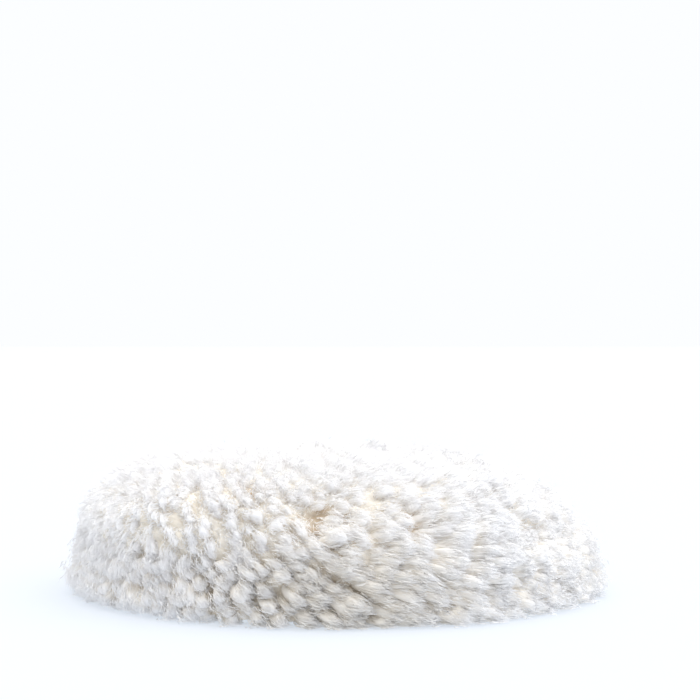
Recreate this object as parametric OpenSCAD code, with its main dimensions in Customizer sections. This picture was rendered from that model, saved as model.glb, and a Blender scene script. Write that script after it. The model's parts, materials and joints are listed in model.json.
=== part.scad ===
// Wool polishing pad, single-sided, for a hook-faced backing plate.
// Frame: Z is the spin axis, the loop face lies at z = 0 and the pile stands up towards +Z.
// All sizes are in millimetres.

/* [Overall] */
// Diameter over the tips of the pile
pad_d = 165; // [160:1:180]
// Height from the loop face to the tips in the middle
pad_h = 42; // [36:1:48]

/* [Loop face] */
// Diameter of the loop disc, matched to the backing plate
loop_d = 140; // [136:1:144]
// Thickness of the loop fabric
loop_t = 1.6; // [1.4:0.1:2.2]
// Diameter of the centring hole in the loop face and the foam
hole_d = 22; // [16:1:30]

/* [Foam core] */
// Thickness of the foam core
foam_t = 10; // [8:0.5:12]
// Radius of the foam's upper edge
foam_edge_r = 5; // [4:0.5:6]

/* [Backing cloth] */
// Thickness of the tufted backing cloth
cloth_t = 1.0; // [0.8:0.1:1.4]
// Thickness of the latex that locks the tufts into the cloth
latex_t = 0.4; // [0.3:0.1:0.6]
// How far the cloth's rim lies inside the rim of the loop disc
cloth_inset = 0.5; // [0.3:0.1:1]
// Width of the hem that is turned in under the foam
hem_w = 7.5; // [7:0.5:9]

/* [Adhesive] */
// Thickness of the film between loop disc and foam
glue_t = 0.4; // [0.2:0.1:0.6]

/* [Rim seam] */
// Number of stitches round the rim
stitch_count = 72; // [48:4:96]
// Distance of the seam from the loop disc's rim
seam_inset = 4; // [3.5:0.5:5]
// Diameter of the sewing thread
thread_d = 0.6; // [0.5:0.05:0.7]

/* [Pile] */
// Height at which the pile is widest
widest_z = 8; // [6:1:12]
// How far the skirt draws in below its widest circle
skirt_tuck = 3; // [2:0.5:5]
// Gap left between neighbouring rows of tufts
row_gap = 0.2; // [0.1:0.05:0.3]

/* [Hidden] */

$fn = 96;
cut = 1;                                  // how far a cutter stands out of what it cuts

loop_r = loop_d / 2;
hole_r = hole_d / 2;
seam_r = loop_r - seam_inset;
thread_r = thread_d / 2;

cloth_r = loop_r - cloth_inset;           // outside of the cloth's side wall
cloth_in_r = cloth_r - cloth_t;           // inside of it
foam_r = cloth_in_r - latex_t;

foam_z = loop_t + glue_t;                 // underside of the foam
foam_top_z = foam_z + foam_t;
latex_top_z = foam_top_z + latex_t;
cloth_top_z = latex_top_z + cloth_t;
hem_top_z = loop_t + cloth_t;
hem_in_r = cloth_r - hem_w;
glue_r = hem_in_r - 0.5;                  // the film stops short of the hem
rebate_z = hem_top_z + thread_d;          // foam cut away above the hem and its thread

latex_edge_r = foam_edge_r + latex_t;
cloth_edge_r = latex_edge_r + cloth_t;

groove_w = 2;                             // channel that the stitches lie in
groove_h = 0.8;
thread_z = 0.2 + thread_r;                // middle of the stitches, clear of the floor
stitch_gap = 0.3;                         // keeps each stitch a solid of its own

edge_steps = 12;                          // chords in each rounded cloth edge

// The cloth's outer face, as a path from the axis over the rounded edge to the hem.
flat_len = cloth_r - cloth_edge_r;
edge_len = cloth_edge_r * PI / 2;
wall_len = cloth_top_z - cloth_edge_r - hem_top_z;
face_len = flat_len + edge_len + wall_len;

// [radius, z] on the outer face of the cloth at the share u of the path's length
function on_cloth(u) =
    let (s = u * face_len, a = (s - flat_len) / edge_len * 90)
    s <= flat_len ? [s, cloth_top_z]
    : s <= flat_len + edge_len
        ? [flat_len + cloth_edge_r * sin(a), cloth_top_z - cloth_edge_r * (1 - cos(a))]
        : [cloth_r, cloth_top_z - cloth_edge_r - (s - flat_len - edge_len)];

// The tips make a dome, a superellipse of power 3, and a quarter ellipse tucked in below it.
pad_r = pad_d / 2;
dome_h = pad_h - widest_z;
dome_share = 0.89;                        // part of the tip path that is dome
dome_ease = 1.5;                          // spaces the tips evenly along the dome

// [radius, z] on the envelope of the tips at the share u of its path
function on_tips(u) =
    let (a = 90 * pow(min(u / dome_share, 1), dome_ease),
         b = 90 * max(u - dome_share, 0) / (1 - dome_share))
    u <= dome_share
        ? [pad_r * pow(sin(a), 2 / 3), widest_z + dome_h * pow(cos(a), 2 / 3)]
        : [pad_r - skirt_tuck * (1 - cos(b)), widest_z * (1 - sin(b))];

row_count = 18;
row_steps = 6;                            // chords across one row

// Section of row i: out along the cloth, up to the tips and back
function row_section(i) =
    let (u0 = (i - 1) / row_count, u1 = i / row_count)
    concat(
        [for (k = [0 : row_steps]) on_cloth(u0 + (u1 - u0) * k / row_steps)],
        [for (k = [row_steps : -1 : 0]) on_tips(u0 + (u1 - u0) * k / row_steps)]
    );

// One ring of tufts, kept row_gap clear of the ring inside it
module pile_row(i) {
    color([0.94, 0.91, 0.85])
        rotate_extrude()
            difference() {
                polygon(row_section(i));
                if (i > 1)
                    row_parting(i);
            }
}

// The gap between row i and the row inside it
module row_parting(i) {
    root = on_cloth((i - 1) / row_count);
    tip = on_tips((i - 1) / row_count);
    along = (tip - root) / norm(tip - root);
    across = [-along[1], along[0]] * row_gap;
    polygon([root - along * cut - across, tip + along * cut - across,
             tip + along * cut + across, root - along * cut + across]);
}

// Points of a rounded outer edge of radius edge_r that ends at [r, z]
function edge_points(r, z, edge_r) = [
    for (k = [0 : edge_steps])
        let (a = 90 * k / edge_steps)
        [r - edge_r + edge_r * sin(a), z - edge_r + edge_r * cos(a)]
];

// Solid of the shape inside a cup: flat top, rounded edge and straight side down to low_z
module filled_cup(r, top_z, edge_r, low_z) {
    rotate_extrude()
        polygon(concat([[0, low_z], [0, top_z]], edge_points(r, top_z, edge_r), [[r, low_z]]));
}

module washer(out_r, in_r, low_z, high_z) {
    translate([0, 0, low_z])
        difference() {
            cylinder(r = out_r, h = high_z - low_z);
            translate([0, 0, -cut])
                cylinder(r = in_r, h = high_z - low_z + 2 * cut);
        }
}

// Holes that the needle leaves through loop disc and hem
module needle_holes() {
    for (i = [0 : stitch_count - 1])
        rotate([0, 0, i * 360 / stitch_count])
            translate([seam_r, 0, -cut])
                cylinder(r = thread_r, h = hem_top_z + 2 * cut, $fn = 16);
}

module loop_disc() {
    color([0.86, 0.86, 0.85])
        difference() {
            washer(loop_r, hole_r, 0, loop_t);
            washer(seam_r + groove_w / 2, seam_r - groove_w / 2, -cut, groove_h);
            needle_holes();
        }
}

module loop_adhesive() {
    color([0.85, 0.80, 0.62])
        washer(glue_r, hole_r, loop_t, foam_z);
}

module foam_core() {
    color([0.93, 0.90, 0.78])
        difference() {
            filled_cup(foam_r, foam_top_z, foam_edge_r, foam_z);
            washer(loop_r + cut, hem_in_r - latex_t, foam_z - cut, rebate_z);
            translate([0, 0, foam_z - cut])
                cylinder(r = hole_r, h = foam_t + 2 * cut);
        }
}

// Latex over the inside of the cloth, down to the hem
module latex_coat() {
    color([0.90, 0.86, 0.74])
        difference() {
            filled_cup(cloth_in_r, latex_top_z, latex_edge_r, rebate_z);
            filled_cup(foam_r, foam_top_z, foam_edge_r, rebate_z - cut);
        }
}

module backing_cloth() {
    color([0.80, 0.76, 0.66])
        difference() {
            filled_cup(cloth_r, cloth_top_z, cloth_edge_r, loop_t);
            filled_cup(cloth_in_r, latex_top_z, latex_edge_r, hem_top_z);
            translate([0, 0, loop_t - cut])
                cylinder(r = hem_in_r, h = cloth_t + 2 * cut);
            needle_holes();
        }
}

// Needle thread: each stitch is a leg in its hole and a bar along the groove, short of the next leg
module rim_stitches() {
    pitch_a = 360 / stitch_count;
    bar_len = 2 * seam_r * sin(pitch_a / 2) - thread_r - stitch_gap;
    color([0.95, 0.95, 0.93])
        for (i = [0 : stitch_count - 1])
            rotate([0, 0, i * pitch_a])
                translate([seam_r, 0, thread_z]) {
                    cylinder(r = thread_r, h = hem_top_z - thread_z, $fn = 16);
                    rotate([-90, 0, pitch_a / 2])
                        cylinder(r = thread_r, h = bar_len, $fn = 16);
                }
}

module bobbin_thread() {
    color([0.95, 0.95, 0.93])
        translate([0, 0, hem_top_z + thread_r])
            rotate_extrude()
                translate([seam_r, 0])
                    circle(r = thread_r, $fn = 16);
}

loop_disc();
loop_adhesive();
foam_core();
latex_coat();
backing_cloth();
rim_stitches();
bobbin_thread();
pile_row(1);  // pile_row_01
pile_row(2);  // pile_row_02
pile_row(3);  // pile_row_03
pile_row(4);  // pile_row_04
pile_row(5);  // pile_row_05
pile_row(6);  // pile_row_06
pile_row(7);  // pile_row_07
pile_row(8);  // pile_row_08
pile_row(9);  // pile_row_09
pile_row(10);  // pile_row_10
pile_row(11);  // pile_row_11
pile_row(12);  // pile_row_12
pile_row(13);  // pile_row_13
pile_row(14);  // pile_row_14
pile_row(15);  // pile_row_15
pile_row(16);  // pile_row_16
pile_row(17);  // pile_row_17
pile_row(18);  // pile_row_18
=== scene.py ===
"""Looks of a single-sided wool polishing pad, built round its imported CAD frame.

Lengths are in metres. Z is the pad's spin axis; the loop face lies at z = 0 and the pile is up.
"""
import json
import math
from collections import namedtuple

import bpy
import numpy as np
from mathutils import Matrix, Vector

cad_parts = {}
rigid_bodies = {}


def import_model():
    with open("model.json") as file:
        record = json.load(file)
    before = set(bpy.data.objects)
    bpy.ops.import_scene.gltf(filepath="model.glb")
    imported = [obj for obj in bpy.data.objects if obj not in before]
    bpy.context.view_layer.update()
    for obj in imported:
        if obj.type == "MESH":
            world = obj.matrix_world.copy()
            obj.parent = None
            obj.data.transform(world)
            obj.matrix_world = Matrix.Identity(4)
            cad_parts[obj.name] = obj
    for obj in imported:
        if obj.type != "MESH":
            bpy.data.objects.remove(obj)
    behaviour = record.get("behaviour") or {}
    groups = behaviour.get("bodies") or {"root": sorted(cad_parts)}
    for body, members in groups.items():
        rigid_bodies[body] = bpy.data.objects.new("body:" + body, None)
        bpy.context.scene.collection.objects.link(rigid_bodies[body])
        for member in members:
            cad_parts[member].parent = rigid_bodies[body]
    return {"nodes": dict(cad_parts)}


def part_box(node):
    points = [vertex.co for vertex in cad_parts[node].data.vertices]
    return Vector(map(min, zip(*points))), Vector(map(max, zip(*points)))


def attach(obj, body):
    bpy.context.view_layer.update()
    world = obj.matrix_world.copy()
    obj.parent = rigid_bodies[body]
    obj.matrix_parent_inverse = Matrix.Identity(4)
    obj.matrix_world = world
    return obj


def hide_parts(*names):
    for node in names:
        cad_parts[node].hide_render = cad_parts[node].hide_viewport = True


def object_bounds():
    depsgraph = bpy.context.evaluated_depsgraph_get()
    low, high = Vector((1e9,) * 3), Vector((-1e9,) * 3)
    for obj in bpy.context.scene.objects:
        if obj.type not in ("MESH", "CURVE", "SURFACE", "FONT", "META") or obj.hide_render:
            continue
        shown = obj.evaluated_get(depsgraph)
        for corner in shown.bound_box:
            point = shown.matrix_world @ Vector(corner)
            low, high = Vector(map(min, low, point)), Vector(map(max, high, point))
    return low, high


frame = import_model()
cad_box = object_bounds()

MM = 0.001
TURN = 2 * math.pi
SEED = 20261

# ---------------------------------------------------------------- sizes, from the frame

PAD_R = (cad_box[1][0] - cad_box[0][0]) / 2
PAD_H = cad_box[1][2]
ROW_NAMES = sorted(name for name in frame["nodes"] if name.startswith("pile_row_"))
ROWS = len(ROW_NAMES)

cloth_low, cloth_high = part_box("backing_cloth")
CLOTH_R = cloth_high[0]
CLOTH_TOP = cloth_high[2]
CLOTH_LOW = cloth_low[2] + 1.0 * MM
CLOTH_EDGE_R = 6.4 * MM
CLOTH_T = 1.0 * MM

loop_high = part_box("loop_disc")[1]
LOOP_R = loop_high[0]
LOOP_T = loop_high[2]
HEM_R = 62 * MM
HEM_TOP = LOOP_T + CLOTH_T

foam_low, foam_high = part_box("foam_core")
FOAM_EDGE_R = 5 * MM
HOLE_R = 11 * MM

stitches_low, stitches_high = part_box("rim_stitches")
bobbin_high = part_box("bobbin_thread")[1]
THREAD_R = 0.3 * MM
SEAM_R = bobbin_high[0] - THREAD_R
GROOVE_W = 2.0 * MM
STITCHES = 72

# the outer shape of the pile: a dome above the widest level and a tucked skirt below it
WIDEST_Z = 8 * MM
SKIRT_TUCK = 3 * MM
DOME_H = PAD_H - WIDEST_Z
DOME_SHARE = 0.89
DOME_EASE = 1.5

# where the skirt is spread on the floor: how far, round which angle, and how wide
SPLAY = 1.4 * MM
SPLAY_ANGLE = -2.75
SPLAY_WIDTH = 0.5


# ---------------------------------------------------------------- shapes and noise

def ramp(x, low, high):
    """0 below low, 1 above high and a smooth rise between."""
    t = np.clip((x - low) / (high - low), 0, 1)
    return t * t * (3 - 2 * t)


def unit(v):
    return v / np.maximum(np.linalg.norm(v, axis=-1, keepdims=True), 1e-12)


def ring_point(r, z, angle):
    return np.stack([r * np.cos(angle), r * np.sin(angle), z], axis=-1)


def waves(points, size, seed, count=28):
    """Smooth noise of about -1 to 1 with features of the given size, a sum of seeded plane waves."""
    rng = np.random.default_rng(seed)
    k = unit(rng.normal(size=(count, 3))) * (TURN / size) * rng.uniform(0.5, 1.3, (count, 1))
    phase = rng.uniform(0, TURN, count)
    return np.sin(points @ k.T + phase).sum(axis=-1) / math.sqrt(count / 2)


def on_cloth(u):
    """Radius and height on the cloth's outer face at the share u of its path, from the axis."""
    flat = CLOTH_R - CLOTH_EDGE_R
    edge = CLOTH_EDGE_R * math.pi / 2
    wall = CLOTH_TOP - CLOTH_EDGE_R - CLOTH_LOW
    s = u * (flat + edge + wall)
    turn = np.clip((s - flat) / CLOTH_EDGE_R, 0, math.pi / 2)
    down = np.clip(s - flat - edge, 0, None)
    r = np.minimum(s, flat) + CLOTH_EDGE_R * np.sin(turn)
    z = CLOTH_TOP - CLOTH_EDGE_R * (1 - np.cos(turn)) - down
    return r, z


def on_tips(u):
    """Radius and height on the envelope of the tips at the share u of its path, from the axis."""
    a = np.pi / 2 * np.clip(u / DOME_SHARE, 0, 1) ** DOME_EASE
    b = np.pi / 2 * np.clip((u - DOME_SHARE) / (1 - DOME_SHARE), 0, 1)
    r = PAD_R * np.sin(a) ** (2 / 3) - SKIRT_TUCK * (1 - np.cos(b))
    z = WIDEST_Z + DOME_H * np.abs(np.cos(a)) ** (2 / 3) - WIDEST_Z * np.sin(b)
    z = np.where(u > DOME_SHARE, WIDEST_Z * (1 - np.sin(b)), z)
    return r, z


def splayed(u, angle):
    """Point on the tips' envelope, with the skirt spread out on the floor at one side."""
    r, z = on_tips(u)
    beside = np.mod(angle - SPLAY_ANGLE, TURN)
    beside = np.minimum(beside, TURN - beside)
    spread = SPLAY * np.exp(-(beside / SPLAY_WIDTH) ** 2) * ramp(u, 0.66, 0.98)
    return ring_point(r + spread, z, angle)


def tip_frame(u, angle):
    """Point, outward direction, downhill direction and sideways direction on the tips' envelope.
    The outward direction is the normal, but never points below the horizontal."""
    step = 0.004
    point = splayed(u, angle)
    ahead = splayed(np.minimum(u + step, 1.0), angle)
    behind = splayed(np.maximum(u - step, 0.0), angle)
    downhill = unit(ahead - behind)
    sideways = np.stack([-np.sin(angle), np.cos(angle), np.zeros_like(angle)], axis=-1)
    normal = np.cross(downhill, sideways)
    level = ring_point(np.ones_like(angle), np.zeros_like(angle), angle)
    return point, np.where(normal[..., 2:] < 0, level, normal), downhill, sideways


# ---------------------------------------------------------------- where the tufts stand and lean

TUFT_PITCH = 6.6 * MM
RING_GAP = 3.0 * MM

# how unevenly the tufts stand, in shares of their pitch: between rings, round one, and its start
UNEVEN_RING = 0.28
UNEVEN_PLACE = 0.26
UNEVEN_START = 0.1

# the tips' path: shares u of it, and the distance along it to each
PATH_U = np.linspace(0, 1, 2001)
PATH_S = np.append(0, np.cumsum(np.hypot(*np.diff(np.array(on_tips(PATH_U))))))
RING_COUNT = round(PATH_S[-1] / RING_GAP)
RINGS = np.interp((np.arange(RING_COUNT) + 0.5) * PATH_S[-1] / RING_COUNT, PATH_S, PATH_U)

# worn spots in mm: x, y, radius, how far the tips sink there (below 0 they rise), and how far they
# are pushed aside
SPOTS = np.array([
    (-33.0, -36.0, 4.5, 4.2, 2.0),
    (27.0, -68.0, 6.0, 6.5, 2.6),
    (-3.0, -73.0, 5.0, 4.8, 2.2),
    (-24.0, -52.0, 4.0, 2.6, 1.4),
    (42.0, -52.0, 4.5, 2.6, 1.6),
    (34.0, 38.0, 9.0, -1.6, 0.0),
]) * MM

# some tufts, as one array for each property: the four points of a tuft's curved middle line, its
# sideways axis, its size, the angle of its section and how that twists along it, how far it draws
# in at its end, how deep its section is, how far its colour shifts towards the tips' white, which
# holds painted light on top and painted shade low in the middle, and a painted shade factor on its colour
Tufts = namedtuple("Tufts", "root low high tip across size spin twist point deep pale clean")


def further(u, distance):
    """The share of the tips' path that lies a distance further down it than u."""
    return np.interp(np.interp(u, PATH_U, PATH_S) + distance, PATH_S, PATH_U)


def spot_reach(top, x, y, radius):
    """How strongly a worn spot acts at each point, from 0 to 1, and the direction away from it."""
    away = top - np.array([x, y, 0.0])
    away[..., 2] = 0
    return np.exp(-((away ** 2).sum(axis=-1)) / radius ** 2), unit(away)


def surface_lift(top, u):
    """How far the cut surface stands off the smooth envelope at each point, in metres."""
    across = top[..., 0] / PAD_R
    height = top[..., 2]
    lift = 0.55 * waves(top, 22 * MM, SEED + 3) - 0.4
    lift = (lift - 4.2 * ramp(u, 0.5, 0.85) + 2.6 * ramp(u, 0.88, 0.97)) * MM
    # the left shoulder stands high and the right one is worn low
    shoulder = 0.9 * ramp(across, -0.1, 0.2)
    shoulder = shoulder - 2.6 * ramp(-across, 0.30, 0.6) * ramp(height, 14 * MM, 26 * MM)
    shoulder = shoulder + 5.2 * ramp(across, 0.50, 0.88) * ramp(height, 12 * MM, 24 * MM)
    lift = lift - shoulder * ramp(height, 8 * MM, 20 * MM) * MM
    for x, y, radius, sink, _ in SPOTS:
        lift = lift - sink * spot_reach(top, x, y, radius)[0]
    return lift


def scatter(row, rng):
    """Shares of the path and angles for the tufts of one row, whose rings are staggered and uneven."""
    u = []
    angle = []
    for ring, share in enumerate(RINGS):
        if math.floor(share * ROWS) != row:
            continue
        around = max(3, round(TURN * float(on_tips(share)[0]) / TUFT_PITCH))
        gap = (RINGS[min(ring + 1, RING_COUNT - 1)] - RINGS[max(ring - 1, 0)]) / 2
        u.append(share + rng.uniform(-UNEVEN_RING, UNEVEN_RING, around) * gap)
        place = np.arange(around) + 0.5 * (ring % 2) + rng.uniform(-UNEVEN_PLACE, UNEVEN_PLACE, around)
        angle.append((place + rng.uniform(-UNEVEN_START, UNEVEN_START)) * TURN / around)
    return np.clip(np.concatenate(u), 0.004, 0.985), np.concatenate(angle)


def lean(u, top, sideways, right, rng):
    """How far each lock lies over along the surface: down the slope, and towards +X on the right.
    The locks lie over more where it is steep and less low down, and stray and clump a little."""
    count = len(u)
    steep = ramp(u, 0.30, 0.8)
    low = ramp(u, 0.75, 1.0)
    down = (1.2 + (6.0 - 4.4 * right) * steep) * (1 - 0.75 * low) * MM
    stray = 0.45 * waves(top, 60 * MM, SEED + 1) + rng.normal(0, 0.6, count)
    down = down + stray * (1 - 0.6 * low) * MM
    side = (7.5 + 5.5 * steep) * right * sideways[:, 0] * MM
    side = side + (0.5 * waves(top, 60 * MM, SEED + 2) + rng.normal(0, 0.7, count)) * MM
    clump = (0.5 + 0.9 * right) * MM
    side = side + clump * waves(top, 10 * MM, SEED + 4)
    down = down + 0.7 * clump * waves(top, 10 * MM, SEED + 5)
    return down, side


def lay_tufts(row, rng):
    """The tufts of one row. Each runs from the cloth up to the envelope and then over along it."""
    u, angle = scatter(row, rng)
    count = len(u)
    root = ring_point(*on_cloth(u), angle)
    top, normal, downhill, sideways = tip_frame(u, angle)
    right = ramp(top[:, 0] / PAD_R, -1.3, 0.6)
    slip_down, slip_side = lean(u, top, sideways, right, rng)
    circle = np.maximum(on_tips(u)[0], 8 * MM)

    def over(share, rise):
        there = tip_frame(further(u, share * slip_down), angle + share * slip_side / circle)
        return there[0] + there[1] * np.reshape(rise, (-1, 1))

    landing = over(1.0, 0.0)
    for x, y, radius, _, push in SPOTS:
        near, away = spot_reach(landing, x, y, radius)
        slip_side = slip_side + push * near * (away * sideways).sum(-1)
        slip_down = slip_down + push * near * (away * downhill).sum(-1)
    lift = surface_lift(over(1.0, 0.0), further(u, slip_down))
    lift = lift + rng.normal(0, 1, count) * (0.35 + 0.45 * right) * MM
    tip = over(1.0, lift)
    middle = np.exp(-((top[:, 0] / PAD_R + 0.05) / 0.4) ** 2)
    # painted light: locks on top shift towards white
    pale = 0.12 * (1 - ramp(u, 0.3, 0.6)) + 0.15
    return Tufts(
        root=root,
        low=root + (top - root) * 0.5,
        high=over(0.25, lift - 0.8 * MM),
        tip=tip,
        across=unit(np.cross(top - root, tip - top + 0.4 * MM * rng.normal(size=(count, 3)))),
        size=(1.02 + 0.36 * right) * rng.uniform(0.80, 1.18, count),
        spin=rng.uniform(0, TURN, count),
        twist=rng.normal(0, 0.5, count),
        point=0.36 + 0.26 * right,
        deep=1.42 - 0.34 * right,
        # painted shade: locks low in the middle shift towards tan
        pale=pale - 0.10 * middle - 0.08 * ramp(u, 0.64, 0.92) * middle,
        # painted shade: the colour of locks low in the middle is darkened
        clean=1 - 0.12 * ramp(u, 0.68, 0.94) * middle,
    )


# ---------------------------------------------------------------- meshes

def tubes(centre, radius, side_a, side_b, spin, sides):
    """Closed tapering tubes of rings round centre (..., K, 3), of which the last is a point.
    Gives their vertices, their triangles and how many vertices each has."""
    lead = centre.shape[:-2]
    k = centre.shape[-2]
    n = int(np.prod(lead))
    centre = centre.reshape(n, k, 3)
    side_a = side_a.reshape(n, k, 3)
    side_b = side_b.reshape(n, k, 3)
    radius = np.broadcast_to(radius, lead + (k,)).reshape(n, k)
    turn = spin.reshape(n, 1, 1) + np.arange(sides) * TURN / sides
    ring = centre[:, :-1, None] + radius[:, :-1, None, None] * (
        np.cos(turn)[..., None] * side_a[:, :-1, None] + np.sin(turn)[..., None] * side_b[:, :-1, None]
    )
    verts = np.concatenate([ring.reshape(n, (k - 1) * sides, 3), centre[:, -1:]], axis=1)
    faces = []
    for j in range(k - 2):
        for s in range(sides):
            a = j * sides + s
            b = j * sides + (s + 1) % sides
            faces.append((a, b, b + sides))
            faces.append((a, b + sides, a + sides))
    last = (k - 2) * sides
    for s in range(sides):
        faces.append((last + s, last + (s + 1) % sides, (k - 1) * sides))
    for s in range(1, sides - 1):
        faces.append((0, s + 1, s))
    per = (k - 1) * sides + 1
    tris = np.array(faces)[None] + (np.arange(n) * per)[:, None, None]
    return verts.reshape(-1, 3), tris.reshape(-1, 3), per


def closed_grid(points):
    """Vertices and triangles of a surface that is closed both ways, from points (n, m, 3)."""
    n, m = points.shape[:2]
    i, j = (x.ravel() for x in np.meshgrid(np.arange(n), np.arange(m), indexing="ij"))
    i2 = (i + 1) % n
    j2 = (j + 1) % m
    a, b, c, d = i * m + j, i2 * m + j, i2 * m + j2, i * m + j2
    return points.reshape(-1, 3), np.concatenate([np.stack([a, b, c], -1), np.stack([a, c, d], -1)])


def mesh_object(name, verts, tris, values=None, uv=None, side=None):
    """A mesh from arrays. An edge is sharp between vertices of one side number, or at one of side -1."""
    mesh = bpy.data.meshes.new(name)
    mesh.vertices.add(len(verts))
    mesh.vertices.foreach_set("co", np.ascontiguousarray(verts, dtype=np.float32).ravel())
    mesh.loops.add(tris.size)
    mesh.loops.foreach_set("vertex_index", np.ascontiguousarray(tris, dtype=np.int32).ravel())
    mesh.polygons.add(len(tris))
    mesh.polygons.foreach_set("loop_start", np.arange(0, tris.size, 3, dtype=np.int32))
    mesh.update(calc_edges=True)
    mesh.polygons.foreach_set("use_smooth", np.ones(len(tris), dtype=bool))
    for key, data in (values or {}).items():
        layer = mesh.attributes.new(key, "FLOAT", "POINT")
        layer.data.foreach_set("value", np.ascontiguousarray(data, dtype=np.float32))
    if side is not None:
        ends = np.empty(len(mesh.edges) * 2, dtype=np.int32)
        mesh.edges.foreach_get("vertices", ends)
        ends = side[ends.reshape(-1, 2)]
        sharp = (ends[:, 0] == ends[:, 1]) | (ends.min(axis=1) < 0)
        layer = mesh.attributes.new("sharp_edge", "BOOLEAN", "EDGE")
        layer.data.foreach_set("value", sharp)
    if uv is not None:
        layer = mesh.uv_layers.new(name="OFBake")
        layer.uv.foreach_set("vector", np.ascontiguousarray(uv[tris.ravel()], dtype=np.float32).ravel())
    obj = bpy.data.objects.new(name, mesh)
    bpy.context.scene.collection.objects.link(obj)
    return obj


# ---------------------------------------------------------------- locks of cut fibres

# a lock's section: its width against its radius, and how far its three lobes stand out
LOCK_WIDTH = 0.84
LOBES = 0.18

# a heart's rings, at these shares of the lock's length, and how much of the lock each ring fills
HEART_FILL = 0.88
HEART_SIDES = 9
HEART_LENGTH = np.array([0.0, 0.25, 0.45, 0.60, 0.71, 0.79, 0.85, 0.89, 0.91])
HEART_FULL = np.array([0.8, 0.9, 0.98, 0.98, 0.94, 0.84, 0.64, 0.36, 0.0])

# the lowest that the wool goes
GROUND = 0.25 * MM

# a strand's rings and sides, and the strips in a lock's texture, each with a tint of its own
STRAND_RINGS = 3
STRAND_SIDES = 3
STRIPS = 12

# triangles in a strand, in a heart at most, and in a piece at most
STRAND_TRIS = 10
HEART_TRIS = 160
PIECE_TRIS = 190_000

# the fibres of one kind in each lock: their count and radius, the shares of the lock's length
# that they start between, the share that they end at and its spread, how far their tips stray, and
# the shares of the lock's radius that they lie between
Fibres = namedtuple("Fibres", "count radius begins ends curl rim")
LONG = Fibres(64, 0.078 * MM, (0.60, 0.85), (0.99, 0.045), 0.33 * MM, (0.72, 1.22))
SHORT = Fibres(56, 0.080 * MM, (0.76, 0.88), (1.0, 0.042), 0.42 * MM, (0.0, 1.1))
UNDER = Fibres(38, 0.11 * MM, (0.74, 0.84), (0.955, 0.03), 0.7 * MM, (1.0, 1.8))
FUZZ = Fibres(8, 0.04 * MM, (0.6, 0.9), (1.06, 0.05), 0.7 * MM, (0.8, 1.3))

# the locks of the skirt show all their length from below
SKIRT_ROWS = 2
SKIRT_LONG = LONG._replace(begins=(0.05, 0.85))


def bezier(tufts, h):
    """Points at shares h on the tufts' middle lines, and the directions there."""
    p0, p1, p2, p3 = (p.reshape((len(p),) + (1,) * (h.ndim - 1) + (3,)) for p in tufts[:4])
    h = h[..., None]
    g = 1 - h
    point = g ** 3 * p0 + 3 * g * g * h * p1 + 3 * g * h * h * p2 + h ** 3 * p3
    along = 3 * g * g * (p1 - p0) + 6 * g * h * (p2 - p1) + 3 * h * h * (p3 - p2)
    return point, unit(along)


def side_axes(across, direction):
    """Two axes square to each direction, the first as near as it can be to across."""
    a = np.broadcast_to(across, direction.shape)
    a = unit(a - (a * direction).sum(-1, keepdims=True) * direction)
    return a, np.cross(direction, a)


def lock_radius(h, turn, lobes, point):
    """Radius of a lock at the share h of its length: widest near its end, with three soft lobes from
    its plies. It draws in towards its end by the share point."""
    wide = (1.40 + 0.60 * h) * (1 - point * ramp(h, 0.80, 1.04))
    return wide * (1 + LOBES * np.cos(3 * turn - lobes)) * MM


def strand_tubes(tufts, rng, kind):
    """Cut fibres of one kind for every tuft: vertices, triangles, and for each vertex its share of the
    lock's length, its tuft, its strip, its corner and the side that it lies on."""
    count = len(tufts.root)
    shape = (count, kind.count)
    q = np.sqrt(rng.uniform(kind.rim[0] ** 2, kind.rim[1] ** 2, shape))
    turn = rng.uniform(0, TURN, shape)
    start = rng.uniform(*kind.begins, shape)
    mean, spread = kind.ends
    end = mean - 0.05 * np.minimum(q, 1.2) ** 3 + rng.normal(0, spread, shape)
    steps = np.linspace(0, 1, STRAND_RINGS)
    h = start[..., None] + (end - start)[..., None] * steps
    inside = np.clip(h, 0, 1)
    centre, direction = bezier(tufts, inside)
    centre = centre + direction * ((h - inside) * 20 * MM)[..., None]
    a, b = side_axes(tufts.across[:, None, None, :], direction)
    size, spin, twist, point, deep = (
        x[:, None, None] for x in (tufts.size, tufts.spin, tufts.twist, tufts.point, tufts.deep)
    )
    radius = lock_radius(h, turn[..., None], 0.0, point) * q[..., None] * size
    off_a = radius * np.cos(turn[..., None] + spin + twist * h) * LOCK_WIDTH
    off_b = radius * np.sin(turn[..., None] + spin + twist * h) * deep
    centre = centre + off_a[..., None] * a + off_b[..., None] * b
    centre = centre + rng.normal(0, 1, centre.shape) * (0.06 * MM + kind.curl * steps ** 2)[:, None]
    floor = GROUND + rng.uniform(0, 0.5 * MM, shape)
    centre[..., 2] = np.maximum(centre[..., 2], floor[..., None])
    taper = kind.radius * (1.0 - 0.4 * steps)
    verts, tris, per = tubes(centre, taper, a, b, rng.uniform(0, TURN, shape), STRAND_SIDES)
    along = np.repeat(h.reshape(-1, STRAND_RINGS)[:, :-1], STRAND_SIDES, axis=1)
    along = np.concatenate([along, h.reshape(-1, STRAND_RINGS)[:, -1:]], axis=1).ravel()
    cell = np.repeat(np.arange(count), kind.count * per)
    strip = np.repeat(np.tile(np.arange(kind.count) % STRIPS, count), per)
    side = np.tile(np.append(np.arange(per - 1) % STRAND_SIDES, -1), count * kind.count)
    corner = np.where(side < 0, 1, side) * 0.4
    return verts, tris, along, cell, strip, corner, side


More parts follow.
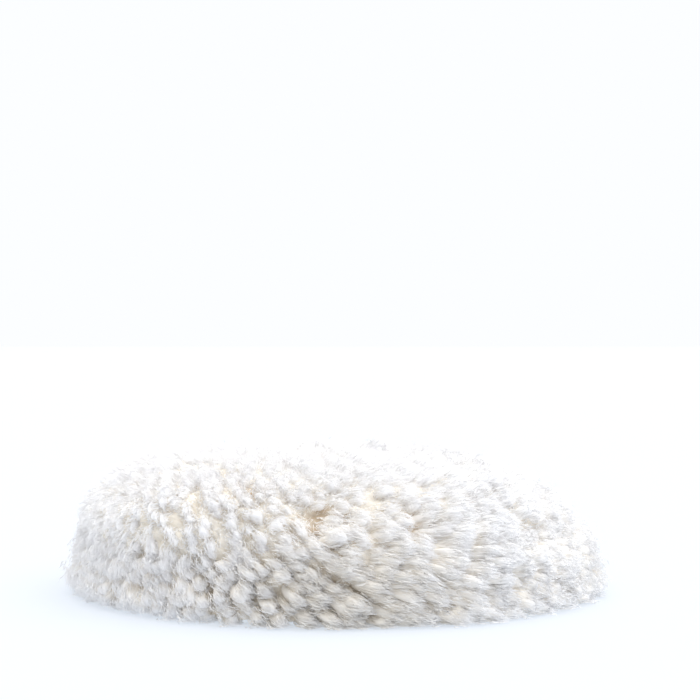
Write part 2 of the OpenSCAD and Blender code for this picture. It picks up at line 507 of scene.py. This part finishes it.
def heart_tubes(tufts, rng):
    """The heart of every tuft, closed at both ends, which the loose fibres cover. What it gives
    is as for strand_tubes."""
    count = len(tufts.root)
    h = np.broadcast_to(HEART_LENGTH, (count, len(HEART_LENGTH)))
    centre, direction = bezier(tufts, h)
    a, b = side_axes(tufts.across[:, None, :], direction)
    centre[..., 2] = np.maximum(centre[..., 2], 1.6 * MM)
    wide = lock_radius(h, 0.0, math.pi / 2, tufts.point[:, None]) * HEART_FULL * HEART_FILL
    wide = wide * tufts.size[:, None]
    turn = (tufts.spin[:, None] + tufts.twist[:, None] * h)[..., None]
    deep = tufts.deep[:, None, None]
    spun_a = np.cos(turn) * a * LOCK_WIDTH + np.sin(turn) * b * deep
    spun_b = np.cos(turn) * b * deep - np.sin(turn) * a * LOCK_WIDTH
    verts, tris, per = tubes(centre, wide, spun_a, spun_b, np.zeros(count), HEART_SIDES)
    lobes = 1 + LOBES * np.cos(3 * np.arange(HEART_SIDES) * TURN / HEART_SIDES)
    lobes = np.append(np.tile(lobes, len(HEART_LENGTH) - 1), 1.0)
    lobes = lobes * (1 + rng.normal(0, 0.09, (count, per)))
    axis = np.concatenate([np.repeat(centre[:, :-1], HEART_SIDES, axis=1), centre[:, -1:]], axis=1)
    verts = (axis + (verts.reshape(count, per, 3) - axis) * lobes[..., None]).reshape(-1, 3)
    # each heart has a floor of its own, so that flattened faces of neighbours don't coincide
    floor = np.repeat(GROUND + 0.11 * (np.arange(count) * 5 % 13) * MM, per)
    floor = floor + 0.25 * np.abs(waves(verts, 1.1 * MM, SEED + 6)) * MM
    verts[:, 2] = np.maximum(verts[:, 2], floor)
    along = np.repeat(h[:, :-1], HEART_SIDES, axis=1)
    along = np.concatenate([along, h[:, -1:]], axis=1).ravel()
    cell = np.repeat(np.arange(count), per)
    strip = np.full(len(cell), STRIPS // 2)
    corner = np.tile(np.arange(per) % HEART_SIDES / HEART_SIDES, count)
    # every vertex has a side number of its own, so a heart has no sharp edge
    side = HEART_SIDES + np.arange(len(cell))
    return verts, tris, along, cell, strip, corner, side


def atlas(cell, cells, strip, along, corner):
    """Texture place: a square for each tuft, a strip in it for some strands, and up it along them."""
    grid = math.ceil(math.sqrt(cells))
    x = (cell % grid + 0.05 + 0.9 * (strip + corner) / STRIPS) / grid
    y = (cell // grid + 0.05 + 0.9 * np.clip(along, 0, 1)) / grid
    return np.stack([x, y], axis=-1)


def wool_piece(name, tufts, rng, long_kind):
    """One mesh with the hearts and all the fibres of the given tufts."""
    count = len(tufts.root)
    parts = [strand_tubes(tufts, rng, kind) for kind in (long_kind, SHORT, UNDER, FUZZ)]
    parts.append(heart_tubes(tufts, rng))
    # each strip's random tint, times the painted shade on locks low in the middle
    tints = rng.uniform(0.95, 1.0, (count, STRIPS)) * tufts.clean[:, None]
    offset = 0
    columns = [[], [], [], [], [], []]
    for verts, tris, along, cell, strip, corner, side in parts:
        uv = atlas(cell, count, strip, along, corner)
        # the share along the lock, plus the tuft's shift towards white, which holds painted light on top
        # and painted shade low in the middle
        row = (verts, tris + offset, along + tufts.pale[cell], tints[cell, strip], uv, side)
        offset += len(verts)
        for column, data in zip(columns, row):
            column.append(data)
    verts, tris, along, tint, uv, side = (np.concatenate(column) for column in columns)
    return mesh_object(name, verts, tris, {"along": along, "tint": tint}, uv, side)


def make_row(row, name):
    """The pieces of one row: one, or as many as keep each below PIECE_TRIS triangles."""
    rng = np.random.default_rng(SEED + 100 + row)
    tufts = lay_tufts(row, rng)
    count = len(tufts.root)
    strands = sum(kind.count for kind in (LONG, SHORT, UNDER, FUZZ))
    pieces = math.ceil(count * (strands * STRAND_TRIS + HEART_TRIS) / PIECE_TRIS)
    cuts = np.linspace(0, count, pieces + 1).round().astype(int)
    long_kind = SKIRT_LONG if row >= ROWS - SKIRT_ROWS else LONG
    made = []
    for j in range(pieces):
        part = Tufts(*(x[cuts[j]:cuts[j + 1]] for x in tufts))
        label = name if pieces == 1 else name + "_" + "abcdefgh"[j]
        made.append(wool_piece(label, part, rng, long_kind))
    return made


# ---------------------------------------------------------------- matted wool between the locks

# how far below the tips it lies, how thick it is, and its mesh round the pad and across the row
FELT_DEPTH = 2.6 * MM
FELT_THICK = 1.2 * MM
FELT_CELL = 1.0 * MM
FELT_ACROSS = 10


def felt_ring(row, name):
    """The matted wool between the locks of one row, as a closed band just below their tips."""
    rng = np.random.default_rng(SEED + 300 + row)
    around = max(24, round(TURN * float(on_tips((row + 0.5) / ROWS)[0]) / FELT_CELL))
    u = np.linspace((row - 0.15) / ROWS, (row + 1.15) / ROWS, FELT_ACROSS)
    u = np.clip(np.concatenate([u, u[::-1]]), 0.002, 1.0)
    angle = np.linspace(0, TURN, around, endpoint=False)
    u, angle = np.meshgrid(u, angle, indexing="ij")
    outer = (np.arange(2 * FELT_ACROSS) < FELT_ACROSS)[:, None]
    top, normal, downhill, sideways = tip_frame(u, angle)

    rough = 0.45 * waves(top, 5 * MM, SEED + 7) + 0.30 * waves(top, 2.4 * MM, SEED + 9)
    rough = rough + 0.5 + 0.4 * (1 - ramp(u, 0.3, 0.55))
    depth = np.where(outer, FELT_DEPTH, FELT_DEPTH + FELT_THICK) + 1.1 * MM * ramp(u, 0.76, 0.88)
    points = top + normal * (surface_lift(top, u) - depth + rough * MM * outer)[..., None]
    # the band's two faces, and those of neighbouring rows, end at different heights
    floor = (np.where(outer, 1.4, 2.2) + 0.3 * (row % 2)) * MM
    points[..., 2] = np.maximum(points[..., 2], floor)
    verts, tris = closed_grid(points)

    step = np.broadcast_to(np.arange(2 * FELT_ACROSS)[:, None] / (2 * FELT_ACROSS), u.shape)
    uv = np.stack([angle / TURN, step], axis=-1).reshape(-1, 2) * 0.98 + 0.01
    # painted light and shade on the felt: it sits low on the wool's ramp, tan, partly as painted shade
    # between the locks; it is paler on top, as painted light, and darker on the skirt, as painted shade
    shade = 0.40 + 0.25 * (1 - ramp(u, 0.25, 0.6)) - 0.04 * ramp(u, 0.72, 0.88)
    shade = shade + 0.08 * waves(top, 6 * MM, SEED + 8)
    # painted shade in the hollows of the worn spots
    for x, y, radius, sink, _ in SPOTS:
        shade = shade - 0.55 * (sink > 0) * spot_reach(top, x, y, 1.4 * radius)[0]
    shade = shade.ravel() + rng.normal(0, 0.06, len(verts))
    tint = rng.uniform(0.8, 1.0, len(verts))
    return mesh_object(name, verts, tris, {"along": shade, "tint": tint}, uv)


# ---------------------------------------------------------------- foam, cloth, loops and thread

# steps round the axis
FOAM_AROUND = 300
CLOTH_AROUND = 320
LOOP_AROUND = 360

# the foam's open cells, the height that the loops hang from, and the loops
CELL_SIZE = 1.5 * MM
CELL_DEPTH = 0.28 * MM
NAP_BASE = 0.95 * MM
NAP_LOOPS = 5200
NAP_R = 0.11 * MM

# the plies of a thread: how many, how far one turn takes, their radius and their distance out
PLIES = 3
PLY_PITCH = 1.6 * MM
PLY_R = 0.50 * THREAD_R
PLY_OFF = 0.52 * THREAD_R
PLY_SIDES = 6
BOBBIN_STEPS = 1200

TINY = 0.01 * MM


def bend(centre_r, centre_z, radius, begin, end, steps):
    """Points of a rounded corner in a profile, from one angle to another, in degrees from straight up."""
    a = np.radians(np.linspace(begin, end, steps))
    return np.stack([centre_r + radius * np.sin(a), centre_z + radius * np.cos(a)], axis=-1)


def finely(profile, step):
    """The closed profile with points added so that none are further apart than step."""
    out = []
    for here, there in zip(profile, np.roll(profile, -1, axis=0)):
        parts = max(1, math.ceil(np.linalg.norm(there - here) / step))
        out.append(here + (there - here) * (np.arange(parts) / parts)[:, None])
    return np.concatenate(out)


def turned(profile, around):
    """Points (n, around, 3) of a closed profile of (radius, height) turned round the axis."""
    angle = np.linspace(0, TURN, around, endpoint=False)
    r, z, a = (np.broadcast_to(x, (len(profile), around)) for x in (profile[:, :1], profile[:, 1:], angle))
    return ring_point(r, z, a)


def make_foam():
    """The foam core, with its open cells standing out on the wall of its hole."""
    low, high = foam_low[2], foam_high[2]
    out = foam_high[0]
    rebate = HEM_TOP + 2 * THREAD_R
    inside_hem = HEM_R - 0.4 * MM
    profile = np.concatenate([
        [(HOLE_R, high)],
        bend(out - FOAM_EDGE_R, high - FOAM_EDGE_R, FOAM_EDGE_R, 0, 90, 10),
        [(out, rebate), (inside_hem, rebate), (inside_hem, low), (HOLE_R, low)],
    ])
    # the wall of the hole, which closes the profile, gets finer steps than the rest
    hole = np.linspace(low, high, 30)[1:-1]
    wall = np.stack([np.full(len(hole), HOLE_R), hole], -1)
    profile = np.concatenate([finely(profile, 2.5 * MM)[:-4], wall])
    points = turned(profile, FOAM_AROUND)
    radial = unit(points * np.array([1.0, 1.0, 0.0]))
    cells = np.abs(waves(points, CELL_SIZE, SEED + 21)) * CELL_DEPTH
    on_wall = points[..., 0] ** 2 + points[..., 1] ** 2 < (HOLE_R + 0.1 * MM) ** 2
    verts, tris = closed_grid(points + radial * (cells * on_wall)[..., None])
    return mesh_object("foam_cells", verts, tris)


def make_cloth():
    """The backing cloth: a closed cap one cloth thick, with its hem turned in under the foam."""
    inner_r = CLOTH_R - CLOTH_T
    inner_top = CLOTH_TOP - CLOTH_T
    inner_edge = CLOTH_EDGE_R - CLOTH_T
    middle = 1.0 * MM
    fold = 0.4 * MM
    corner_r, corner_z = CLOTH_R - CLOTH_EDGE_R, CLOTH_TOP - CLOTH_EDGE_R
    outer = np.concatenate([[(middle, CLOTH_TOP)], bend(corner_r, corner_z, CLOTH_EDGE_R, 0, 90, 12)])
    hem = [(CLOTH_R, LOOP_T + fold), (CLOTH_R - fold, LOOP_T), (HEM_R, LOOP_T), (HEM_R, HEM_TOP)]
    inner = np.concatenate([
        [(inner_r, HEM_TOP)], bend(corner_r, corner_z, inner_edge, 90, 0, 12), [(middle, inner_top)],
    ])
    profile = finely(np.concatenate([outer, hem, inner]), 1.5 * MM)
    # the profile is open at the axis, where two fans close it
    on_top = profile[:, 1] > CLOTH_TOP - TINY
    below = profile[:, 1] < inner_top + TINY
    points = turned(profile[(profile[:, 0] > middle + TINY) | on_top | below], CLOTH_AROUND)
    n, m = points.shape[:2]
    verts, tris = closed_grid(points)
    tris = tris[(tris.max(axis=1) < (n - 1) * m) | (tris.min(axis=1) >= m)]
    j = np.arange(m)
    j2 = (j + 1) % m
    top_fan = np.stack([np.full(m, n * m), j, j2], -1)
    low_fan = np.stack([np.full(m, n * m + 1), (n - 1) * m + j2, (n - 1) * m + j], -1)
    verts = np.concatenate([verts, [(0, 0, CLOTH_TOP), (0, 0, inner_top)]])
    return mesh_object("cloth_cap", verts, np.concatenate([tris, top_fan, low_fan]))


def make_loop_base():
    """The knitted base that the loops stand on."""
    profile = np.array([(HOLE_R, LOOP_T), (LOOP_R, LOOP_T), (LOOP_R, NAP_BASE), (HOLE_R, NAP_BASE)])
    points = turned(finely(profile, 1.0 * MM), LOOP_AROUND)
    under = points[..., 2] < NAP_BASE + TINY
    points[..., 2] += under * 0.05 * MM * waves(points, 1.8 * MM, SEED + 22)
    verts, tris = closed_grid(points)
    return mesh_object("loop_base", verts, tris)


def make_loops(rng):
    """Fine loops over the base's underside, leaning at random, but not in the stitches' channel."""
    edge = 0.8 * MM
    r = np.sqrt(rng.uniform((HOLE_R + edge) ** 2, (LOOP_R - edge) ** 2, NAP_LOOPS))
    r = np.where(np.abs(r - SEAM_R) < 0.9 * GROOVE_W, r - 1.3 * GROOVE_W, r)
    level = np.zeros(NAP_LOOPS)
    place = ring_point(r, level, rng.uniform(0, TURN, NAP_LOOPS))
    turn = rng.uniform(0, TURN, NAP_LOOPS)
    toward = np.stack([np.cos(turn), np.sin(turn), level], axis=-1)[:, None]
    aside = np.stack([-np.sin(turn), np.cos(turn), level], axis=-1)[:, None]
    steps = np.linspace(0, math.pi, 7)[None, :, None]
    half = rng.uniform(0.4, 0.75, (NAP_LOOPS, 1, 1)) * MM
    sway = rng.normal(0, 0.35, (NAP_LOOPS, 1, 1)) * MM
    drop = NAP_BASE - rng.uniform(0.12, 0.42, (NAP_LOOPS, 1, 1)) * MM
    centre = place[:, None] - toward * half * np.cos(steps) * (1 + 0.3 * np.sin(steps))
    centre = centre + aside * sway * np.sin(steps)
    centre[..., 2:] = NAP_BASE + 0.1 * MM - drop * np.sin(steps) ** 0.8
    side_a, side_b = side_axes(aside, unit(np.gradient(centre, axis=1)))
    verts, tris, per = tubes(centre, NAP_R, side_a, side_b, level, STRAND_SIDES)
    return mesh_object("loop_nap", verts, tris)


def plies(path, normal, closed):
    """Plies twisted round each path (n, k, 3) whose normals are given: middle lines and two axes."""
    after = path[:, :1] if closed else path[:, -1:]
    gap = np.linalg.norm(np.diff(path, axis=1, append=after), axis=-1)
    length = np.concatenate([np.zeros((len(path), 1)), np.cumsum(gap, axis=1)[:, :-1]], axis=1)
    if closed:
        whole = gap.sum(axis=1)[:, None]
        phase = length / whole * np.round(whole / PLY_PITCH) * TURN
        along = unit(np.roll(path, -1, axis=1) - np.roll(path, 1, axis=1))
    else:
        phase = length / PLY_PITCH * TURN
        along = unit(np.gradient(path, axis=1))
    side_a, side_b = side_axes(normal, along)
    middle = []
    for ply in range(PLIES):
        turn = (phase + ply * TURN / PLIES)[..., None]
        middle.append(path + PLY_OFF * (np.cos(turn) * side_a + np.sin(turn) * side_b))
    return middle, side_a, side_b


def joined(name, parts):
    """One mesh made of several, each given by its vertices and triangles."""
    counts = np.cumsum([0] + [len(verts) for verts, tris in parts])
    verts = np.concatenate([verts for verts, tris in parts])
    tris = np.concatenate([part[1] + start for part, start in zip(parts, counts)])
    return mesh_object(name, verts, tris)


def make_stitches():
    """Needle thread: every stitch comes down its hole, runs along the channel and ends at the next."""
    angle = np.arange(STITCHES) * TURN / STITCHES
    pitch = TURN / STITCHES
    level = np.zeros(STITCHES)
    start = ring_point(np.full(STITCHES, SEAM_R), level, angle)
    end = ring_point(np.full(STITCHES, SEAM_R), level, angle + pitch)
    chord = np.linalg.norm(end - start, axis=-1)[0]
    normal = ring_point(np.ones(STITCHES), level, angle + pitch / 2)
    low = stitches_low[2] + THREAD_R
    high = stitches_high[2]
    turn = np.radians(np.linspace(0, 90, 7))
    corner = 0.6 * MM
    run = np.linspace(corner, chord - 2.2 * THREAD_R, 14)[1:]
    drop = np.linspace(high, low + corner, 6)[:5]
    s = np.concatenate([np.zeros(len(drop)), corner * (1 - np.cos(turn)), run])
    z = np.concatenate([drop, low + corner * (1 - np.sin(turn)), np.full(len(run), low)])
    path = start[:, None] + unit(end - start)[:, None] * s[None, :, None]
    path[..., 2] = z
    middle, side_a, side_b = plies(path, normal[:, None], False)
    parts = [tubes(line, PLY_R, side_a, side_b, level, PLY_SIDES)[:2] for line in middle]
    return joined("stitch_thread", parts)


def make_bobbin():
    """Bobbin thread: one closed ring above the hem."""
    angle = np.linspace(0, TURN, BOBBIN_STEPS, endpoint=False)
    level = np.full(BOBBIN_STEPS, HEM_TOP + THREAD_R)
    path = ring_point(np.full(BOBBIN_STEPS, SEAM_R), level, angle)[None]
    middle, side_a, side_b = plies(path, unit(path * np.array([1.0, 1.0, 0.0])), True)
    turn = (np.arange(PLY_SIDES) * TURN / PLY_SIDES)[:, None, None]
    section = PLY_R * (np.cos(turn) * side_a[0] - np.sin(turn) * side_b[0])
    return joined("bobbin_twist", [closed_grid(line[0] + section) for line in middle])


# ---------------------------------------------------------------- materials

def new_material(name):
    mat = bpy.data.materials.new(name)
    mat.use_nodes = True
    return mat, mat.node_tree.nodes, mat.node_tree.links, mat.node_tree.nodes["Principled BSDF"]


def color_ramp(nodes, links, value, stops):
    """The colour output of a ramp over a value, from stops of (position, colour)."""
    colors = nodes.new("ShaderNodeValToRGB")
    elements = colors.color_ramp.elements
    elements[-1].position = stops[-1][0]
    for position, color in stops[1:-1]:
        elements.new(position).color = (*color, 1)
    elements[0].color = (*stops[0][1], 1)
    elements[-1].color = (*stops[-1][1], 1)
    links.new(value, colors.inputs["Fac"])
    return colors.outputs["Color"]


def rough_and_bump(nodes, links, shader, height, rough, strength, depth):
    """Roughness from the lower to the higher value of rough, and bump, both from one height."""
    spread = nodes.new("ShaderNodeMapRange")
    spread.inputs["To Min"].default_value = rough[0]
    spread.inputs["To Max"].default_value = rough[1]
    links.new(height, spread.inputs["Value"])
    links.new(spread.outputs["Result"], shader.inputs["Roughness"])
    bump = nodes.new("ShaderNodeBump")
    bump.inputs["Strength"].default_value = strength
    bump.inputs["Distance"].default_value = depth
    links.new(height, bump.inputs["Height"])
    links.new(bump.outputs["Normal"], shader.inputs["Normal"])


def wool_material(name, grain, depth):
    """Wool whose colour goes from tan, deep in the pile, to white at the tips, times each strand's tint,
    which holds painted shade on locks low in the middle. The tan is partly the wool's own colour and
    partly painted shade, darkest where the pile is deepest. grain and depth are the scale and the height
    of its bump."""
    mat, nodes, links, shader = new_material(name)
    along = nodes.new("ShaderNodeAttribute")
    along.attribute_name = "along"
    # the lowest stops are darkened so that gaps and hollows read dark: painted shade over the wool's own
    # tan
    color = color_ramp(nodes, links, along.outputs["Fac"], [
        (0.00, (0.58, 0.465, 0.34)),
        (0.30, (0.84, 0.780, 0.680)),
        (0.70, (0.955, 0.912, 0.840)),
        (0.96, (0.970, 0.969, 0.976)),
    ])
    tint = nodes.new("ShaderNodeAttribute")
    tint.attribute_name = "tint"
    mix = nodes.new("ShaderNodeVectorMath")
    mix.operation = "SCALE"
    links.new(color, mix.inputs[0])
    links.new(tint.outputs["Fac"], mix.inputs["Scale"])
    links.new(mix.outputs["Vector"], shader.inputs["Base Color"])
    shader.inputs["Specular IOR Level"].default_value = 0.05
    place = nodes.new("ShaderNodeTexCoord")
    noise = nodes.new("ShaderNodeTexNoise")
    noise.inputs["Scale"].default_value = grain
    noise.inputs["Detail"].default_value = 2
    links.new(place.outputs["Object"], noise.inputs["Vector"])
    rough_and_bump(nodes, links, shader, noise.outputs["Fac"], (0.77, 0.93), 0.5, depth)
    return mat


def pattern_height(nodes, links, place, pattern, scale):
    """The height of one procedural pattern: noise, cells or weave."""
    if pattern == "cells":
        cells = nodes.new("ShaderNodeTexVoronoi")
        cells.inputs["Scale"].default_value = scale
        links.new(place, cells.inputs["Vector"])
        return cells.outputs["Distance"]
    if pattern == "weave":
        both = nodes.new("ShaderNodeMath")
        both.operation = "MAXIMUM"
        for socket, direction in zip(both.inputs, "XY"):
            yarn = nodes.new("ShaderNodeTexWave")
            yarn.bands_direction = direction
            yarn.inputs["Scale"].default_value = scale / 20
            yarn.inputs["Distortion"].default_value = 0.6
            links.new(place, yarn.inputs["Vector"])
            links.new(yarn.outputs["Fac"], socket)
        return both.outputs[0]
    noise = nodes.new("ShaderNodeTexNoise")
    noise.inputs["Scale"].default_value = scale
    noise.inputs["Detail"].default_value = 4
    links.new(place, noise.inputs["Vector"])
    return noise.outputs["Fac"]


def detail_material(name, low, high, pattern, scale, depth, rough, specular=0.2):
    """Colour, roughness and bump from one procedural pattern in the piece's own space."""
    mat, nodes, links, shader = new_material(name)
    place = nodes.new("ShaderNodeTexCoord").outputs["Object"]
    height = pattern_height(nodes, links, place, pattern, scale)
    blotch = nodes.new("ShaderNodeTexNoise")
    blotch.inputs["Scale"].default_value = 60
    links.new(place, blotch.inputs["Vector"])
    share = nodes.new("ShaderNodeMath")
    share.operation = "MULTIPLY"
    links.new(height, share.inputs[0])
    links.new(blotch.outputs["Fac"], share.inputs[1])
    color = color_ramp(nodes, links, share.outputs[0], [(0.0, low), (0.6, high)])
    links.new(color, shader.inputs["Base Color"])
    shader.inputs["Specular IOR Level"].default_value = specular
    rough_and_bump(nodes, links, shader, height, (rough - 0.08, rough + 0.08), 0.7, depth)
    return mat


# ---------------------------------------------------------------- the pieces in place

def put(piece, mat, node):
    """Give a piece its material and its body, and hide the node that it stands for."""
    piece.data.materials.append(mat)
    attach(piece, "root")
    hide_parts(node)


wool = wool_material("wool", 2600, 0.02 * MM)
matted = wool_material("wool_felt", 1100, 0.5 * MM)
for row, node in enumerate(ROW_NAMES):
    for piece in make_row(row, node.replace("pile_row", "wool_row")):
        put(piece, wool, node)
    put(felt_ring(row, node.replace("pile_row", "wool_felt")), matted, node)

knit = detail_material(
    "loop_fabric", (0.70, 0.70, 0.69), (0.88, 0.88, 0.87), "noise", 2400, 0.1 * MM, 0.80)
thread = detail_material(
    "thread", (0.84, 0.84, 0.82), (0.95, 0.95, 0.93), "noise", 5000, 0.03 * MM, 0.55)
foam = detail_material(
    "foam", (0.80, 0.74, 0.56), (0.93, 0.90, 0.78), "cells", 900, 0.3 * MM, 0.85)
weave = detail_material(
    "cloth", (0.62, 0.57, 0.46), (0.82, 0.78, 0.68), "weave", 1000, 0.2 * MM, 0.85)
latex = detail_material(
    "latex", (0.82, 0.76, 0.62), (0.92, 0.88, 0.77), "noise", 350, 0.2 * MM, 0.45, 0.4)
glue = detail_material(
    "adhesive", (0.78, 0.71, 0.52), (0.87, 0.82, 0.65), "noise", 200, 0.1 * MM, 0.30, 0.5)

foam_cells = make_foam()
put(foam_cells, foam, "foam_core")

# the cloth was cut as a round blank as wide as its path over the foam, hem and all
cloth_cap = make_cloth()
put(cloth_cap, weave, "backing_cloth")

loop_nap = make_loops(np.random.default_rng(SEED + 23))
put(loop_nap, knit, "loop_disc")
loop_base = make_loop_base()
put(loop_base, knit, "loop_disc")

put(make_stitches(), thread, "rim_stitches")
put(make_bobbin(), thread, "bobbin_thread")

# two CAD nodes keep their shape and get better materials
for node, mat in (("latex_coat", latex), ("loop_adhesive", glue)):
    for material_slot in bpy.data.objects[node].material_slots:
        material_slot.material = mat


# ---------------------------------------------------------------- floor, light and camera

FLOOR_HALF = 3.0
CAMERA_AWAY = 0.6
CAMERA_SIDE = 0.0034
CAMERA_RISE = math.radians(8.5)
CAMERA_PITCH = math.radians(1.5)
SUN_FROM = (0.3, 0.05, 1.2)


def make_floor():
    """A pale floor that gives off some light of its own, so that its shadows stay faint."""
    corners = np.array([(-1, -1, 0), (1, -1, 0), (1, 1, 0), (-1, 1, 0)]) * FLOOR_HALF
    floor = mesh_object("floor", corners, np.array([(0, 1, 2), (0, 2, 3)]))
    mat, nodes, links, shader = new_material("floor")
    shader.inputs["Base Color"].default_value = (0.250, 0.252, 0.262, 1)
    shader.inputs["Roughness"].default_value = 0.9
    shader.inputs["Specular IOR Level"].default_value = 0.1
    shader.inputs["Emission Color"].default_value = (0.548, 0.597, 0.655, 1)
    shader.inputs["Emission Strength"].default_value = 1.0
    floor.data.materials.append(mat)


def make_sun():
    """A broad distant light, almost overhead."""
    data = bpy.data.lights.new("key", "SUN")
    data.angle = math.radians(90)
    data.energy = 2.52
    data.color = (1.0, 0.99, 0.975)
    lamp = bpy.data.objects.new("key", data)
    x, y, z = SUN_FROM
    lamp.rotation_euler = (math.atan2(math.hypot(x, y), z), 0, math.atan2(y, x) + math.pi / 2)
    bpy.context.scene.collection.objects.link(lamp)


def make_world():
    """Even light from all round, a little weaker from the side of -Y."""
    world = bpy.data.worlds.new("studio")
    bpy.context.scene.world = world
    world.use_nodes = True
    nodes = world.node_tree.nodes
    links = world.node_tree.links
    back = nodes["Background"]
    back.inputs["Color"].default_value = (0.975, 0.99, 1.02, 1)
    sky = nodes.new("ShaderNodeTexCoord")
    axes = nodes.new("ShaderNodeSeparateXYZ")
    fade = nodes.new("ShaderNodeMapRange")
    fade.inputs["From Min"].default_value = -1.0
    fade.inputs["From Max"].default_value = 0.2
    fade.inputs["To Min"].default_value = 0.79
    fade.inputs["To Max"].default_value = 1.0
    links.new(sky.outputs["Generated"], axes.inputs["Vector"])
    links.new(axes.outputs["Y"], fade.inputs["Value"])
    links.new(fade.outputs["Result"], back.inputs["Strength"])


def make_camera():
    data = bpy.data.cameras.new("camera")
    data.lens = 99
    data.sensor_width = 36
    cam = bpy.data.objects.new("camera", data)
    away = CAMERA_AWAY * math.cos(CAMERA_RISE)
    cam.location = (CAMERA_SIDE, -away, CAMERA_AWAY * math.sin(CAMERA_RISE))
    cam.rotation_euler = (math.pi / 2 - CAMERA_PITCH, 0, 0)
    bpy.context.scene.collection.objects.link(cam)
    bpy.context.scene.camera = cam


make_floor()
make_sun()
make_world()
make_camera()
scene = bpy.context.scene
scene.view_settings.view_transform = "Standard"
scene.cycles.diffuse_bounces = 24
scene.cycles.max_bounces = 24
